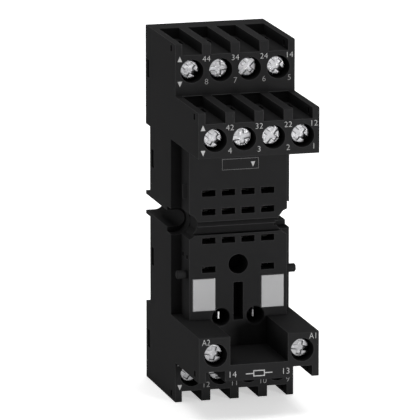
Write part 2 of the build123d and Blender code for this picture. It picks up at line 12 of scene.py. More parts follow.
import bpy
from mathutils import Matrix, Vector


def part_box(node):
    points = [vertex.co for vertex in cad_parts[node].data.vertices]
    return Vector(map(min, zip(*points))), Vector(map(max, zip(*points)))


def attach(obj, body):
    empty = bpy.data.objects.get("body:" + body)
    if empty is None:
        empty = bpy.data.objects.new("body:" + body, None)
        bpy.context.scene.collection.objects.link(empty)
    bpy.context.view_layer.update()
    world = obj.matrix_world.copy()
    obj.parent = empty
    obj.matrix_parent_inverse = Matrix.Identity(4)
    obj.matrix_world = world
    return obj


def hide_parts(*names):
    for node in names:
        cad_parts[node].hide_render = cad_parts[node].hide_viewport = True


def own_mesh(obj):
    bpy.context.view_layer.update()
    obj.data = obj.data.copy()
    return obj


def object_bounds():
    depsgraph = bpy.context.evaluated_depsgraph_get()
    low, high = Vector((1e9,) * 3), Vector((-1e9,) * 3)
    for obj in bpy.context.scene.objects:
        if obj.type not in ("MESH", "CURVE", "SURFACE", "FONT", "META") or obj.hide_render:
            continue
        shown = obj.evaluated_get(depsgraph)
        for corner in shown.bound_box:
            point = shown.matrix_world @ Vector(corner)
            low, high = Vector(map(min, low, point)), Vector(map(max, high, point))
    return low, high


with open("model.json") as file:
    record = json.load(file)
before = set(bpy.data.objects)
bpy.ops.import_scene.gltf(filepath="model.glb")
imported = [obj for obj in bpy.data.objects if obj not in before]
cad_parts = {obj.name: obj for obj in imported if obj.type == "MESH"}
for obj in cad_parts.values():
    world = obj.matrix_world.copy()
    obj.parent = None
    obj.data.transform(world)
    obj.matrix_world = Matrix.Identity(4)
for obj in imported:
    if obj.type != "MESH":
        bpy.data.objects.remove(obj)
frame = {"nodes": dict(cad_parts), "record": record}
cad_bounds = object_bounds()

SOCKET_BODY = "socket"
MILLIMETRE = 0.001
QUARTER_TURN = radians(90)
HALF_TURN = radians(180)
ORIGIN = (0.0, 0.0, 0.0)
Colour = tuple[float, float, float]
Place = tuple[float, float, float]
BLACK: Colour = (0.0, 0.0, 0.0)
WHITE: Colour = (1.0, 1.0, 1.0)
# Edge colour of the black plastics: lighter for wear and for a painted highlight along the outer edges.
WORN_AND_HIGHLIT_BLACK: Colour = (0.06, 0.06, 0.061)
log = logging.getLogger("relay_socket")


class Shading:
    """The node tree of one material, built up round its Principled BSDF."""

    rounding_samples: ClassVar[int] = 6
    shelter_samples: ClassVar[int] = 8
    open_face: ClassVar[float] = 1.0
    sheltered_face: ClassVar[float] = 0.5

    def __init__(self, name: str) -> None:
        """Start a material.

        Args:
            name: The finish that the material gives.
        """
        self.material = bpy.data.materials.new(name)
        self.material.use_nodes = True
        self.tree = self.material.node_tree
        self.surface = self.tree.nodes["Principled BSDF"]
        self.place = self.add("ShaderNodeTexCoord").outputs["Object"]

    def add(self, kind: str, **inputs: float | Colour | bpy.types.NodeSocket) -> bpy.types.Node:
        """Add a node and fill its inputs.

        Args:
            kind: The node's type.
            inputs: A value or a socket for each input, named with underscores for spaces.

        Returns:
            The new node.
        """
        node = self.tree.nodes.new(kind)
        for name, value in inputs.items():
            self.feed(node.inputs[name.replace("_", " ")], value)
        return node

    def feed(
        self, socket: bpy.types.NodeSocket, value: float | Colour | bpy.types.NodeSocket
    ) -> None:
        """Set a socket to a value, or link it to another socket.

        Args:
            socket: The input to fill.
            value: A number, a colour or an output socket.
        """
        if isinstance(value, bpy.types.NodeSocket):
            self.tree.links.new(value, socket)
        elif isinstance(value, tuple) and socket.type == "RGBA":
            socket.default_value = (*value, 1.0)
        else:
            socket.default_value = value

    def noise(self, size: float, detail: float = 2.0) -> bpy.types.NodeSocket:
        """Add a noise whose blotches are about one size across.

        Args:
            size: The blotches' size in metres.
            detail: How many finer layers the noise has.

        Returns:
            The noise, from 0 to 1.
        """
        texture = self.add("ShaderNodeTexNoise", Vector=self.place, Scale=1 / size, Detail=detail)
        return texture.outputs["Fac"]

    def between(
        self, factor: bpy.types.NodeSocket, low: float, high: float
    ) -> bpy.types.NodeSocket:
        """Spread a factor of 0 to 1 between two values.

        Args:
            factor: The factor, from 0 to 1.
            low: The result where the factor is 0.
            high: The result where the factor is 1.

        Returns:
            The spread value.
        """
        spread = self.add("ShaderNodeMapRange", Value=factor, To_Min=low, To_Max=high)
        return spread.outputs["Result"]

    def tint(
        self, factor: bpy.types.NodeSocket, first: Colour, second: Colour
    ) -> bpy.types.NodeSocket:
        """Mix two colours.

        Args:
            factor: The share of the second colour.
            first: The colour where the factor is 0.
            second: The colour where the factor is 1.

        Returns:
            The mixed colour.
        """
        mix = self.tree.nodes.new("ShaderNodeMix")
        mix.data_type = "RGBA"
        self.feed(mix.inputs["Factor"], factor)
        self.feed(mix.inputs["A"], first)
        self.feed(mix.inputs["B"], second)
        return mix.outputs["Result"]

    def rounded(self, radius: float) -> bpy.types.NodeSocket:
        """Round the edges in the shading.

        Args:
            radius: The radius of the rounding in metres.

        Returns:
            The rounded normal.
        """
        rounding = self.tree.nodes.new("ShaderNodeBevel")
        rounding.samples = self.rounding_samples
        self.feed(rounding.inputs["Radius"], radius)
        return rounding.outputs["Normal"]

    def near(self, distance: float, inside: bool) -> bpy.types.NodeSocket:
        """Find where another face is close by.

        Args:
            distance: How far the mask reaches in metres.
            inside: Whether it looks into the solid, which finds outer edges, or out of it, which
                finds corners and grooves.

        Returns:
            A mask that is 1 there and 0 elsewhere.
        """
        shelter = self.tree.nodes.new("ShaderNodeAmbientOcclusion")
        shelter.samples = self.shelter_samples
        shelter.inside = inside
        shelter.only_local = inside
        self.feed(shelter.inputs["Distance"], distance)
        mask = self.add(
            "ShaderNodeMapRange",
            Value=shelter.outputs["AO"],
            From_Min=self.open_face,
            From_Max=self.sheltered_face,
            To_Min=0.0,
            To_Max=1.0,
        )
        return mask.outputs["Result"]

    def bump(
        self, height: bpy.types.NodeSocket, depth: float, normal: bpy.types.NodeSocket | None
    ) -> bpy.types.NodeSocket:
        """Disturb a normal with a height map.

        Args:
            height: The height map, from 0 to 1.
            depth: The depth of the relief in metres.
            normal: The normal before the bump, or None for the surface's own.

        Returns:
            The disturbed normal.
        """
        node = self.add("ShaderNodeBump", Height=height, Distance=depth, Strength=1.0)
        if normal is not None:
            self.feed(node.inputs["Normal"], normal)
        return node.outputs["Normal"]

    def finish(self, **inputs: float | Colour | bpy.types.NodeSocket) -> bpy.types.Material:
        """Fill the inputs of the Principled BSDF.

        Args:
            inputs: A value or a socket for each input, named with underscores for spaces.

        Returns:
            The material.
        """
        for name, value in inputs.items():
            self.feed(self.surface.inputs[name.replace("_", " ")], value)
        return self.material


@dataclass(frozen=True)
class MouldedPlastic:
    """Injection-moulded plastic with a fine eroded grain, edges lightened by wear and by a painted
    highlight, and painted shade in its corners and grooves.
    """

    name: str
    colour: Colour
    edge_wear_and_highlight_colour: Colour
    roughness: float = 0.6
    roughness_spread: float = 0.1
    specular: float = 0.5
    cloud_size: float = 6 * MILLIMETRE
    cloud_share: float = 0.88
    grain_size: float = 0.12 * MILLIMETRE
    grain_depth: float = 0.003 * MILLIMETRE
    grain_detail: float = 4.0
    edge_radius: float = 0.12 * MILLIMETRE
    edge_wear_and_highlight_share: float = 0.8
    # Painted shade: how far from corners and grooves, and how strongly, the colour darkens towards
    # black.
    corner_shade_reach: float = 2.6 * MILLIMETRE
    corner_shade_share: float = 0.34

    def material(self) -> bpy.types.Material:
        """Build the plastic's material.

        Returns:
            The material.
        """
        shading = Shading(self.name)
        cloud = shading.noise(self.cloud_size)
        edge = shading.near(self.edge_radius, inside=True)
        darker = tuple(self.cloud_share * channel for channel in self.colour)
        body_colour = shading.tint(cloud, darker, self.colour)
        # Painted highlight and wear: the outer edges are tinted towards the lighter edge colour.
        worn = shading.between(edge, 0.0, self.edge_wear_and_highlight_share)
        # Painted shade: corners, grooves and recesses darken towards black.
        corner = shading.near(self.corner_shade_reach, inside=False)
        painted_corner_shade = shading.between(corner, 0.0, self.corner_shade_share)
        grain = shading.noise(self.grain_size, self.grain_detail)
        half_spread = self.roughness_spread / 2
        unshaded_colour = shading.tint(worn, body_colour, self.edge_wear_and_highlight_colour)
        return shading.finish(
            Base_Color=shading.tint(painted_corner_shade, unshaded_colour, BLACK),
            Roughness=shading.between(
                cloud, self.roughness - half_spread, self.roughness + half_spread
            ),
            Specular_IOR_Level=self.specular,
            Normal=shading.bump(grain, self.grain_depth, shading.rounded(self.edge_radius)),
        )


@dataclass(frozen=True)
class PlatedMetal:
    """Plated metal with a soft drawn grain, small stains and painted shade in its corners and recesses.
    """

    name: str
    colour: Colour
    stain: Colour
    # Painted shade: the colour towards which corners and recess walls darken, and how far it reaches.
    recess_shade_colour: Colour = (0.03, 0.03, 0.03)
    recess_shade_reach: float = 0.35 * MILLIMETRE
    roughness: float = 0.3
    roughness_spread: float = 0.16
    stain_size: float = 0.9 * MILLIMETRE
    stain_detail: float = 5.0
    grain_size: float = 0.15 * MILLIMETRE
    grain_depth: float = 0.004 * MILLIMETRE
    grain_detail: float = 3.0
    edge_radius: float = 0.08 * MILLIMETRE

    def material(self) -> bpy.types.Material:
        """Build the metal's material.

        Returns:
            The material.
        """
        shading = Shading(self.name)
        stain = shading.noise(self.stain_size, self.stain_detail)
        grain = shading.noise(self.grain_size, self.grain_detail)
        half_spread = self.roughness_spread / 2
        unshaded_colour = shading.tint(stain, self.stain, self.colour)
        return shading.finish(
            # Painted shade: the stained colour darkens near corners and recess walls.
            Base_Color=shading.tint(shading.near(self.recess_shade_reach, inside=False), unshaded_colour, self.recess_shade_colour),
            Metallic=1.0,
            Roughness=shading.between(
                stain, self.roughness + half_spread, self.roughness - half_spread
            ),
            Normal=shading.bump(grain, self.grain_depth, shading.rounded(self.edge_radius)),
        )


@dataclass(frozen=True)
class PadInk:
    """Pad-printed ink, which is slightly thin in places."""

    name: str
    colour: Colour
    thin_colour: Colour
    blotch_size: float = 0.25 * MILLIMETRE
    blotch_detail: float = 3.0
    relief: float = 0.002 * MILLIMETRE
    roughness: float = 0.55

    def material(self) -> bpy.types.Material:
        """Build the ink's material.

        Returns:
            The material.
        """
        shading = Shading(self.name)
        blotch = shading.noise(self.blotch_size, self.blotch_detail)
        return shading.finish(
            Base_Color=shading.tint(blotch, self.thin_colour, self.colour),
            Roughness=self.roughness,
            Normal=shading.bump(blotch, self.relief, None),
        )


class SocketFinish(Enum):
    """The finish of each material slot of the part."""

    HOUSING_PLASTIC = MouldedPlastic(
        "moulded_housing_black", (0.02, 0.02, 0.0205), WORN_AND_HIGHLIT_BLACK, specular=0.003
    )
    COVER_PLASTIC = MouldedPlastic(
        "moulded_cover_black", (0.0195, 0.0195, 0.02), WORN_AND_HIGHLIT_BLACK, specular=0.003
    )
    LATCH_PLASTIC = MouldedPlastic(
        "moulded_latch_black", (0.021, 0.021, 0.0215), WORN_AND_HIGHLIT_BLACK, specular=0.004
    )
    # The label's lighter edge colour paints a highlight along its edges as well as wear.
    LABEL_PLASTIC = MouldedPlastic(
        "label_light_grey", (0.41, 0.41, 0.415), (0.47, 0.47, 0.475), edge_wear_and_highlight_share=0.3, specular=0.3
    )
    # The screws' short shade reach paints thin dark lines along the recess walls.
    SCREW_STEEL = PlatedMetal(
        "screw_zinc_plate",
        (0.46, 0.46, 0.47),
        (0.26, 0.26, 0.27),
        recess_shade_reach=0.32 * MILLIMETRE,
        roughness=0.28,
        grain_depth=0.0035 * MILLIMETRE,
    )
    CAGE_STEEL = PlatedMetal("cage_zinc_plate", (0.5, 0.5, 0.5), (0.3, 0.3, 0.3))
    # The contacts' long shade reach paints them dark deep in the blade slots.
    CONTACT_BRASS = PlatedMetal(
        "contact_tin_plate", (0.5, 0.5, 0.49), (0.3, 0.3, 0.29), recess_shade_reach=1.0 * MILLIMETRE
    )
    MODULE_TIN = PlatedMetal("module_contact_tin", (0.85, 0.85, 0.85), (0.7, 0.7, 0.7))
    SPRING_STEEL = PlatedMetal("spring_wire", (0.4, 0.4, 0.42), (0.25, 0.25, 0.27))


@dataclass(frozen=True)
class PartDressing:
    """Gives every node of the part the finish of its material slot."""

    def dress(self) -> dict[str, bpy.types.Material]:
        """Assign the finishes to the nodes' own material slots.

        Returns:
            The material of each slot.
        """
        record = frame["record"]
        slots = {entry["node"]: entry["material_slot"] for entry in record["subparts"]}
        finishes = {finish.name.lower(): finish.value.material() for finish in SocketFinish}
        for name, node in frame["nodes"].items():
            material = finishes[slots[name]]
            if not node.material_slots:
                node.data.materials.append(material)
            for slot in node.material_slots:
                slot.link = "OBJECT"
                slot.material = material
        log.info("dressed %d nodes of the part", len(frame["nodes"]))
        return finishes


def seen_directly(tree: bpy.types.NodeTree) -> bpy.types.NodeSocket:
    """Find what the camera, a reflection or clear plastic shows.

    Args:
        tree: The nodes of the floor or of the surroundings.

    Returns:
        A mask that is 1 there and 0 for all other light.
    """
    path = tree.nodes.new("ShaderNodeLightPath")
    seen = path.outputs["Is Camera Ray"]
    for name in ("Is Glossy Ray", "Is Transmission Ray"):
        either = tree.nodes.new("ShaderNodeMath")
        either.operation = "MAXIMUM"
        tree.links.new(seen, either.inputs[0])
        tree.links.new(path.outputs[name], either.inputs[1])
        seen = either.outputs["Value"]
    return seen


def deselect_all() -> None:
    """Deselect every object."""
    bpy.ops.object.select_all(action="DESELECT")


def start_piece(
    primitive: Callable[..., set[str]], **sizes: float | str | tuple[float, ...]
) -> bpy.types.Object:
    """Add a primitive as the start of a piece, and make it the active one.

    Args:
        primitive: The operator that adds it.
        sizes: The operator's settings.

    Returns:
        The new piece.
    """
    deselect_all()
    primitive(**sizes)
    return bpy.context.view_layer.objects.active


@contextmanager
def edit_mode() -> Iterator[None]:
    """Work on the active mesh in edit mode.

    Yields:
        Nothing, while the mesh is in edit mode.
    """
    bpy.ops.object.mode_set(mode="EDIT")
    yield
    bpy.ops.object.mode_set(mode="OBJECT")


def pick_nothing() -> None:
    """Deselect everything inside the active mesh."""
    with edit_mode():
        bpy.ops.mesh.select_all(action="DESELECT")


def face_outwards() -> None:
    """Turn every normal of the mesh in edit mode outwards."""
    bpy.ops.mesh.select_all(action="SELECT")
    bpy.ops.mesh.normals_make_consistent(inside=False)


def stand_up() -> None:
    """Turn what is selected in edit mode a quarter turn round X."""
    bpy.ops.transform.rotate(value=QUARTER_TURN, orient_axis="X", center_override=ORIGIN)


def settle(piece: bpy.types.Object) -> None:
    """Put a piece's place into its mesh, so that its object sits at the origin.

    Args:
        piece: A mesh object.
    """
    deselect_all()
    bpy.context.view_layer.objects.active = piece
    piece.select_set(True)
    bpy.ops.object.transform_apply(location=True, rotation=True, scale=True)


def join(pieces: Sequence[bpy.types.Object], name: str) -> bpy.types.Object:
    """Join pieces into one.

    Args:
        pieces: Mesh objects.
        name: The joined piece's name.

    Returns:
        The joined piece.
    """
    deselect_all()
    for piece in pieces:
        piece.select_set(True)
    bpy.context.view_layer.objects.active = pieces[0]
    bpy.ops.object.join()
    joined = bpy.context.view_layer.objects.active
    joined.name = name
    return joined


def coat(piece: bpy.types.Object, finish: bpy.types.Material) -> None:
    """Make a finish the only material of a piece.

    Args:
        piece: A mesh object.
        finish: Its finish.
    """
    piece.data.materials.clear()
    piece.data.materials.append(finish)


def wind(section: bpy.types.Object, name: str, pitch: float, turns: int, steps: int) -> None:
    """Wind a section round the Z axis into a helix.

    Args:
        section: The active object, which holds the section beside the axis.
        name: What the helix is.
        pitch: The height of one turn.
        turns: How many turns the helix has.
        steps: The steps of one turn.
    """
    helix = section.modifiers.new(name, "SCREW")
    helix.axis = "Z"
    helix.screw_offset = pitch
    helix.iterations = turns
    helix.steps = helix.render_steps = steps
    bpy.ops.object.modifier_apply(modifier=helix.name)


@dataclass(frozen=True)
class TerminalScrew:
    """A clamp screw with a rounded head, a slot crossed by a shorter arm, and a rolled thread.

    It is modelled once, its axis along Z and its head's face at the origin, and then copied.
    """

    head_radius: float = 2.15 * MILLIMETRE
    head_height: float = 1.8 * MILLIMETRE
    head_sides: int = 64
    rim_radius: float = 0.3 * MILLIMETRE
    rim_steps: int = 5
    slot_width: float = 1.15 * MILLIMETRE
    arm_length: float = 3.1 * MILLIMETRE
    recess_depth: float = 0.4 * MILLIMETRE
    slot_fall: float = 0.6 * MILLIMETRE
    slot_fall_start: float = 1.0 * MILLIMETRE
    core_radius: float = 1.27 * MILLIMETRE
    shank_length: float = 8.4 * MILLIMETRE
    shank_sides: int = 32
    end_slope: float = -0.5
    thread_radius: float = 1.44 * MILLIMETRE
    thread_pitch: float = 0.5 * MILLIMETRE
    thread_turns: int = 16
    crest_share: float = 0.2
    root_share: float = 0.9
    weld_distance: float = 0.0005 * MILLIMETRE
    rib_corners: int = 4
    smooth_below: float = radians(35)

    def _head(self) -> bpy.types.Object:
        """Model the head with its rounded rim and its recess.

        Returns:
            The head.
        """
        head = start_piece(
            bpy.ops.mesh.primitive_cylinder_add,
            vertices=self.head_sides,
            radius=self.head_radius,
            depth=self.head_height,
            location=(0, 0, -self.head_height / 2),
        )
        settle(head)
        pick_nothing()
        for edge in head.data.edges:
            edge.select = all(head.data.vertices[i].co.z > -self.rim_radius for i in edge.vertices)
        with edit_mode():
            bpy.ops.mesh.select_mode(type="EDGE")
            bpy.ops.mesh.bevel(offset=self.rim_radius, segments=self.rim_steps)
        self._cut(head, self.arm_length, self.slot_width)
        self._cut(head, self.slot_width, self.arm_length)
        self._cut_slot_ends(head)
        return head

    def _cut(self, head: bpy.types.Object, length: float, width: float) -> None:
        """Mill a groove into the head's face.

        Args:
            head: The head.
            length: Size of the groove along X.
            width: Size of the groove along Y.
        """
        mill = start_piece(bpy.ops.mesh.primitive_cube_add, size=1)
        with edit_mode():
            bpy.ops.transform.resize(value=(length, width, 2 * self.recess_depth))
        self._mill_away(head, mill)

    def _cut_slot_ends(self, head: bpy.types.Object) -> None:
        """Mill the slot's two open ends, one of which may fall away towards the rim.

        Args:
            head: The head.
        """
        past_rim = self.head_radius + self.rim_radius
        for side in (-1, 1):
            mill = start_piece(bpy.ops.mesh.primitive_cube_add, size=1)
            for corner in mill.data.vertices:
                outer = side * corner.co.x > 0
                corner.co.x = side * (past_rim if outer else self.slot_fall_start)
                corner.co.y *= self.slot_width
                if corner.co.z > 0:
                    corner.co.z = self.recess_depth
                else:
                    falls = outer and side > 0
                    corner.co.z = -self.recess_depth - (self.slot_fall if falls else 0.0)
            self._mill_away(head, mill)

    def _mill_away(self, head: bpy.types.Object, mill: bpy.types.Object) -> None:
        """Take the mill's form out of the head.

        Args:
            head: The head.
            mill: The form, which is removed afterwards.
        """
        cut = head.modifiers.new("groove", "BOOLEAN")
        cut.operation = "DIFFERENCE"
        cut.solver = "EXACT"
        cut.object = mill
        deselect_all()
        head.select_set(True)
        bpy.context.view_layer.objects.active = head
        bpy.ops.object.modifier_apply(modifier=cut.name)
        bpy.data.objects.remove(mill)

    def _core(self) -> bpy.types.Object:
        """Model the shank's core, whose end face has a rim.

        Returns:
            The core.
        """
        core = start_piece(
            bpy.ops.mesh.primitive_cylinder_add,
            vertices=self.shank_sides,
            radius=self.core_radius,
            depth=self.shank_length,
            location=(0, 0, -self.head_height - self.shank_length / 2),
        )
        settle(core)
        pick_nothing()
        for face in core.data.polygons:
            face.select = face.normal.z < self.end_slope
        with edit_mode():
            bpy.ops.mesh.select_mode(type="FACE")
            bpy.ops.mesh.inset(thickness=self.rim_radius, depth=0)
        return core

    def _thread(self) -> bpy.types.Object:
        """Model the thread as a helix of one V-shaped rib.

        Returns:
            The thread.
        """
        rib = start_piece(bpy.ops.mesh.primitive_plane_add, size=self.thread_pitch)
        with edit_mode():
            bpy.ops.mesh.select_all(action="SELECT")
            stand_up()
        for vertex in rib.data.vertices:
            crest = vertex.co.x > 0
            vertex.co.x = self.thread_radius if crest else self.core_radius
            vertex.co.z *= self.crest_share if crest else self.root_share
        rib.location.z = self.thread_pitch / 2 - self.head_height - self.shank_length
        settle(rib)
        wind(rib, "thread", self.thread_pitch, self.thread_turns, self.shank_sides)
        with edit_mode():
            bpy.ops.mesh.select_all(action="SELECT")
            bpy.ops.mesh.remove_doubles(threshold=self.weld_distance)
            bpy.ops.mesh.fill_holes(sides=self.rib_corners)
            bpy.ops.mesh.normals_make_consistent(inside=False)
        return rib

    def model(self) -> bpy.types.Object:
        """Model the whole screw.

        Returns:
            The pattern screw, which is copied to each terminal.
        """
        pattern = join([self._head(), self._core(), self._thread()], "terminal_screw_pattern")
        bpy.ops.object.shade_smooth_by_angle(angle=self.smooth_below)
        return pattern


@dataclass(frozen=True)
class ScrewSet:
    """The clamp screws, each with its head turned its own way as the last wiring left it."""

    turns: dict[int, float] = field(
        default_factory=lambda: {
            4: -38, 3: 8, 2: 52, 1: -40, 8: -36, 7: 2, 6: 46, 5: -42,
            12: -35, 11: 5, 10: 50, 9: -38, 14: -12, 13: -10,
        }
    )
    level_slots: tuple[int, ...] = (2, 3, 6, 7, 10, 11)

    def build(self, finish: bpy.types.Material) -> list[bpy.types.Object]:
        """Put a screw into each terminal.

        Args:
            finish: The screws' finish.

        Returns:
            The screws.
        """
        worn = TerminalScrew().model()
        level = TerminalScrew(slot_fall=0.0).model()
        screws = []
        for number, turn in self.turns.items():
            pattern = level if number in self.level_slots else worn
            low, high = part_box(f"terminal_screw_{number}")
            middle = (low + high) / 2
            screw = pattern.copy()
            screw.data = pattern.data.copy()
            screw.name = f"turned_screw_{number}"
            bpy.context.scene.collection.objects.link(screw)
            screw.rotation_euler = (QUARTER_TURN, -radians(turn), 0)
            screw.location = (middle.x, low.y, middle.z)
            settle(screw)
            coat(screw, finish)
            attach(screw, f"screw_{number}")
            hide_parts(f"terminal_screw_{number}")
            screws.append(screw)
        for pattern in (worn, level):
            bpy.data.objects.remove(pattern)
        log.info("turned %d screws", len(screws))
        return screws


@dataclass(frozen=True)
class LatchSpring:
    """The coil spring behind the rail latch, with closed ends."""

    wire_radius: float = 0.15 * MILLIMETRE
    coil_radius: float = 0.92 * MILLIMETRE
    coils: int = 6
    wire_sides: int = 12
    coil_sides: int = 40

    def _end_ring(self, height: float) -> bpy.types.Object:
        """Model a closed end coil.

        Args:
            height: The height of the coil's middle.

        Returns:
            The end coil.
        """
        return start_piece(
            bpy.ops.mesh.primitive_torus_add,
            major_radius=self.coil_radius,
            minor_radius=self.wire_radius,
            major_segments=self.coil_sides,
            minor_segments=self.wire_sides,
            location=(0, 0, height),
        )

    def _coils(self, length: float) -> bpy.types.Object:
        """Model the open coils by winding the wire's section round the axis.

        Args:
            length: The height over which the coils climb.

        Returns:
            The coils.
        """
        wire = start_piece(
            bpy.ops.mesh.primitive_circle_add, vertices=self.wire_sides, radius=self.wire_radius
        )
        with edit_mode():
            stand_up()
            bpy.ops.transform.translate(value=(self.coil_radius, 0, 0))
        wind(wire, "coils", length / self.coils, self.coils, self.coil_sides)
        with edit_mode():
            face_outwards()
        return wire

    def build(self, finish: bpy.types.Material) -> bpy.types.Object:
        """Put the spring between its peg and the latch.

        Args:
            finish: The spring's finish.

        Returns:
            The spring.
        """
        low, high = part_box("latch_spring")
        length = high.z - low.z - 2 * self.wire_radius
        rings = [self._end_ring(height) for height in (0.0, length)]
        spring = join([self._coils(length), *rings], "wound_latch_spring")
        middle = (low + high) / 2
        spring.location += Vector((middle.x, middle.y, low.z + self.wire_radius))
        settle(spring)
        bpy.ops.object.shade_smooth()
        coat(spring, finish)
        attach(spring, SOCKET_BODY)
        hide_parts("latch_spring")
        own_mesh(spring)
        log.info("wound the latch spring, %.2f mm long", length / MILLIMETRE)
        return spring


@dataclass(frozen=True)
class InkPrinter:
    """Prints flat marks on faces that look to the front."""

    ink: bpy.types.Material
    faded_ink: bpy.types.Material
    thickness: float = 0.015 * MILLIMETRE
    thinning: float = 0.012
    width_share: float = 1.02
    spacing: float = 1.04
    curve_steps: int = 4
    triangle_corners: int = 3
    triangle_centre_share: float = 2 / 3
    triangle_width_share: float = 0.74

    def faded(self) -> "InkPrinter":
        """Return a printer for marks whose print has faded."""
        return replace(self, ink=self.faded_ink)

    def _place(self, mark: bpy.types.Object, place: Place) -> bpy.types.Object:
        """Stand a flat mark up on a front face and give it its ink.

        Args:
            mark: A mark that lies in the floor's plane, centred, with its thickness upwards.
            place: The mark's centre on the face.

        Returns:
            The mark.
        """
        mark.rotation_euler = (QUARTER_TURN, 0, 0)
        mark.location = place
        coat(mark, self.ink)
        settle(mark)
        return mark

    def _thicken(self) -> None:
        """Raise the selected flat face of the active mesh by the ink's thickness."""
        bpy.ops.mesh.extrude_region_move(TRANSFORM_OT_translate={"value": (0, 0, self.thickness)})
        face_outwards()

    def characters(self, text: str, height: float, place: Place) -> bpy.types.Object:
        """Print characters.

        Args:
            text: What is printed.
            height: Height of the capitals.
            place: The text's centre on the face.

        Returns:
            The printed characters.
        """
        letters = start_piece(bpy.ops.object.text_add)
        letters.data.body = text
        letters.data.align_x = "CENTER"
        letters.data.align_y = "CENTER"
        letters.data.space_character = self.spacing
        letters.data.offset = -self.thinning
        letters.data.extrude = self.thickness / 2
        letters.data.resolution_u = self.curve_steps
        bpy.context.view_layer.update()
        size = height / letters.dimensions.y
        letters.data.size = size
        letters.data.offset = -self.thinning * size
        bpy.ops.object.convert(target="MESH")
        letters.scale.x = self.width_share
        settle(letters)
        return self._place(letters, place)

    def triangle(self, height: float, up: bool, place: Place) -> bpy.types.Object:
        """Print a solid triangle.

        Args:
            height: The triangle's height.
            up: Whether it points up.
            place: Its centre on the face.

        Returns:
            The printed triangle.
        """
        mark = start_piece(
            bpy.ops.mesh.primitive_circle_add,
            vertices=self.triangle_corners,
            radius=height * self.triangle_centre_share,
            fill_type="NGON",
        )
        with edit_mode():
            bpy.ops.transform.resize(value=(self.triangle_width_share, 1, 1))
            if not up:
                bpy.ops.transform.rotate(value=HALF_TURN, orient_axis="Z", center_override=ORIGIN)
            self._thicken()
        return self._place(mark, place)

    def rectangle(
        self, width: float, height: float, place: Place, line: float | None = None
    ) -> bpy.types.Object:
        """Print a rectangle, either solid or as an outline.

        Args:
            width: Outer width.
            height: Outer height.
            place: Its centre on the face.
            line: Width of the outline's line, or None for a solid rectangle.

        Returns:
            The printed rectangle.
        """
        mark = start_piece(bpy.ops.mesh.primitive_plane_add, size=1)
        with edit_mode():
            bpy.ops.transform.resize(value=(width, height, 1))
            if line is not None:
                bpy.ops.mesh.inset(thickness=line, depth=0)
                bpy.ops.mesh.delete(type="FACE")
                bpy.ops.mesh.select_all(action="SELECT")
            self._thicken()
        return self._place(mark, place)


@dataclass(frozen=True)
class RowMarks:
    """The numbers beside one row of terminals, with the triangles that end the row."""

    name: str
    upper_numbers: dict[int, str]
    lower_numbers: dict[int, str]
    lower_faded: bool = False
    digit_height: float = 1.2 * MILLIMETRE
    raise_above: float = 2.56 * MILLIMETRE
    drop_below: float = 2.48 * MILLIMETRE
    step_right: float = 3.25 * MILLIMETRE
    last_step_right: float = 2.5 * MILLIMETRE
    last_x: float = 9 * MILLIMETRE
    triangle_height: float = 1.2 * MILLIMETRE
    triangle_step: float = 2.75 * MILLIMETRE
    triangle_rise: float = 0.05 * MILLIMETRE
    screw_recess: float = 2.2 * MILLIMETRE

    def _screw_place(self, number: int) -> Place:
        """Find where a terminal screw stands on the face round it.

        Args:
            number: The terminal's number.

        Returns:
            The screw's X and Z, with the Y of the face.
        """
        low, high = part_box(f"terminal_screw_{number}")
        middle = (low + high) / 2
        return middle.x, low.y - self.screw_recess, middle.z

    def _line(
        self, numbers: dict[int, str], shift: float, printer: InkPrinter, digits: InkPrinter
    ) -> list[bpy.types.Object]:
        """Print the numbers on one side of the row, and their triangle.

        Args:
            numbers: What is printed at each terminal, from left to right.
            shift: How far above the screws the numbers stand.
            printer: What prints the triangle.
            digits: What prints the numbers.

        Returns:
            The marks.
        """
        marks = []
        for terminal, text in numbers.items():
            x, y, z = self._screw_place(terminal)
            step = self.last_step_right if x > self.last_x else self.step_right
            marks.append(digits.characters(text, self.digit_height, (x + step, y, z + shift)))
        x, y, z = self._screw_place(next(iter(numbers)))
        up = shift > 0
        rise = self.triangle_rise if up else -self.triangle_rise
        place = (x - self.triangle_step, y, z + shift + rise)
        marks.append(printer.triangle(self.triangle_height, up, place))
        return marks

    def build(self, printer: InkPrinter) -> bpy.types.Object:
        """Print the row's marks as one piece.

        Args:
            printer: What prints them.

        Returns:
            The printed marks.
        """
        lower_digits = printer.faded() if self.lower_faded else printer
        above = self._line(self.upper_numbers, self.raise_above, printer, printer)
        below = self._line(self.lower_numbers, -self.drop_below, printer, lower_digits)
        return join([*above, *below], f"marks_{self.name}")


@dataclass(frozen=True)
class CoilMarks:
    """The marks on the coil block and on the strip below the module bay."""

    terminal_height: float = 1.3 * MILLIMETRE
    strip_height: float = 1.3 * MILLIMETRE
    terminal_share: float = 0.82
    left_x: float = -11.9 * MILLIMETRE
    right_x: float = 12.25 * MILLIMETRE
    terminal_z: float = -22.0 * MILLIMETRE
    strip_x: float = 6.02 * MILLIMETRE
    strip_z: float = -29.47 * MILLIMETRE
    sign_width: float = 2.6 * MILLIMETRE
    sign_height: float = 1.4 * MILLIMETRE
    sign_line: float = 0.22 * MILLIMETRE
    sign_lead: float = 1.7 * MILLIMETRE

    def build(self, printer: InkPrinter) -> bpy.types.Object:
        """Print the marks as one piece.

        Args:
            printer: What prints them.

        Returns:
            The printed marks.
        """
        y = cad_bounds[0].y
        slim = replace(printer, width_share=self.terminal_share)
        marks = [
            slim.characters("A2", self.terminal_height, (self.left_x, y, self.terminal_z)),
            slim.characters("A1", self.terminal_height, (self.right_x, y, self.terminal_z)),
            printer.characters("14", self.strip_height, (-self.strip_x, y, self.strip_z)),
            printer.characters("13", self.strip_height, (self.strip_x, y, self.strip_z)),
            printer.rectangle(
                self.sign_width, self.sign_height, (0, y, self.strip_z), self.sign_line
            ),
        ]
        lead_x = (self.sign_width + self.sign_lead) / 2
        for x in (-lead_x, lead_x):
            marks.append(printer.rectangle(self.sign_lead, self.sign_line, (x, y, self.strip_z)))
        return join(marks, "marks_coil_block")


